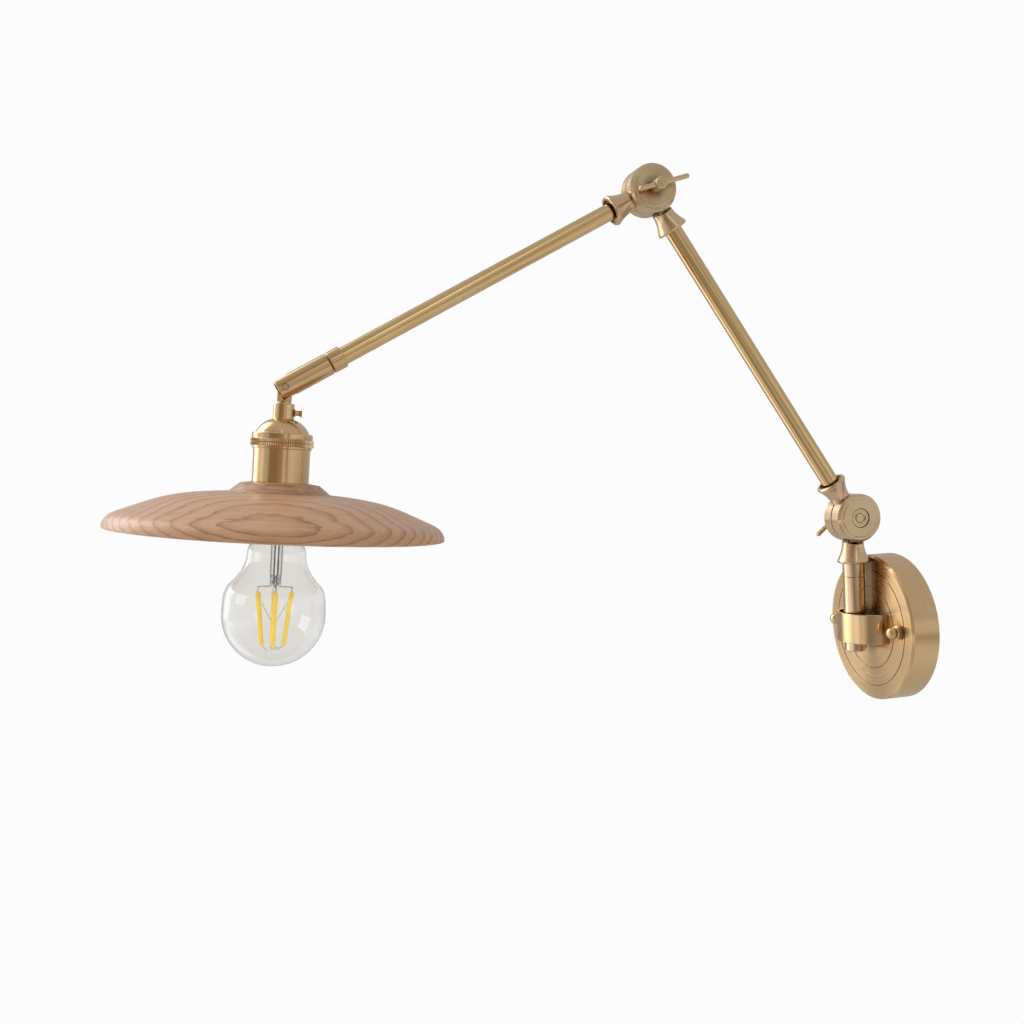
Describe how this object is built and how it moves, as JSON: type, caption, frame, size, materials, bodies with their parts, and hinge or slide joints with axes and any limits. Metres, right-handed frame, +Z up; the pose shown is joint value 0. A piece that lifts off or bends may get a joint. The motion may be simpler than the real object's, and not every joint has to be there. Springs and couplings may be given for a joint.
{
  "type": "swing arm wall lamp",
  "caption": "Swing arm wall lamp: round wall plate, swivelling post, two tube arms on split clamp knuckles and a tilting lamp holder with a shallow turned wood shade and bulb.",
  "frame": {"origin": "on the wall, midway between the two slots of the fixing bar", "axes": "+Z up, -Y straight out of the wall, +X along the wall to the right as seen from the room"},
  "size_m": [0.1956, 0.5059, 0.3539],
  "materials": {
    "brass": "satin, brushed",
    "wood": "oiled, matt",
    "glass": "clear",
    "steel": "zinc plated",
    "cap_metal": "plain",
    "white_insulator": "glazed",
    "terminal_plastic": "moulded",
    "fibre": "pressed fibre",
    "phosphor": "coated"
  },
  "bodies": {
    "wall_bracket": {"wall_plate": "brass", "mounting_bar": "steel", "mounting_studs": "steel", "cap_nuts": "brass", "terminal_block": "terminal_plastic", "earth_screw": "steel", "swivel_hoop": "brass", "swivel_block": "brass", "block_screws": "steel"},
    "post": {"post_tube": "brass", "post_sleeve": "brass", "post_retaining_rings": "steel", "post_end_plug": "brass", "lower_knuckle_rear": "brass", "lower_friction_washer": "fibre"},
    "lower_arm": {"lower_knuckle_front": "brass", "lower_knuckle_nut": "brass", "lower_arm_tube": "brass", "upper_knuckle_rear": "brass", "upper_knuckle_nut": "brass", "upper_friction_washer": "fibre"},
    "lower_clamp": {"lower_clamp_screw": "brass", "lower_clamp_bar": "brass"},
    "upper_clamp": {"upper_clamp_screw": "brass", "upper_clamp_bar": "brass"},
    "upper_arm": {"upper_knuckle_front": "brass", "upper_arm_tube": "brass", "ferrule_ring": "brass", "ferrule_stud": "brass"},
    "ferrule": {"ferrule_sleeve": "brass", "tilt_pin": "brass"},
    "lamp_head": {"tilt_tongue": "brass", "holder_cap": "brass", "knurled_ring": "brass", "socket_shell": "brass", "socket_core": "white_insulator", "socket_skirt": "white_insulator", "thread_shell": "steel", "centre_contact": "steel", "shade": "wood", "shade_ring": "brass", "bulb_glass": "glass", "bulb_cap": "cap_metal", "bulb_insulator": "white_insulator", "bulb_contact": "cap_metal", "bulb_stem": "glass", "bulb_filaments": "phosphor", "bulb_wires": "steel"},
    "holder_thumbscrew": {"holder_screw": "brass"}
  },
  "joints": [
    {"name": "post_swivel", "type": "hinge", "parent": "wall_bracket", "child": "post", "pos_m": [0, -0.0305, 0], "axis": [0, 0, 1], "range_deg": [-70, 70]},
    {"name": "lower_knuckle_turn", "type": "hinge", "parent": "post", "child": "lower_arm", "pos_m": [0, -0.0305, 0.07385], "axis": [1, 0, 0], "range_deg": [-30, 90]},
    {"name": "upper_knuckle_turn", "type": "hinge", "parent": "lower_arm", "child": "upper_arm", "pos_m": [0, -0.16841, 0.28834], "axis": [1, 0, 0], "range_deg": [-80, 40]},
    {"name": "lower_clamp_turn", "type": "hinge", "parent": "lower_arm", "child": "lower_clamp", "pos_m": [0, -0.0305, 0.07385], "axis": [-1, 0, 0], "range_deg": [0, 180]},
    {"name": "upper_clamp_turn", "type": "hinge", "parent": "lower_arm", "child": "upper_clamp", "pos_m": [0, -0.16841, 0.28834], "axis": [1, 0, 0], "range_deg": [0, 180]},
    {"name": "ferrule_twist", "type": "hinge", "parent": "upper_arm", "child": "ferrule", "pos_m": [0, -0.39993, 0.17134], "axis": [0, -0.8925, -0.451], "range_deg": [-160, 160]},
    {"name": "head_tilt", "type": "hinge", "parent": "ferrule", "child": "lamp_head", "pos_m": [0, -0.39993, 0.17134], "axis": [1, 0, 0], "range_deg": [-140, 30]},
    {"name": "thumbscrew_turn", "type": "hinge", "parent": "lamp_head", "child": "holder_thumbscrew", "pos_m": [0, -0.40142, 0.15693], "axis": [0, 0.9947, -0.1028], "range_deg": [0, 180]}
  ]
}
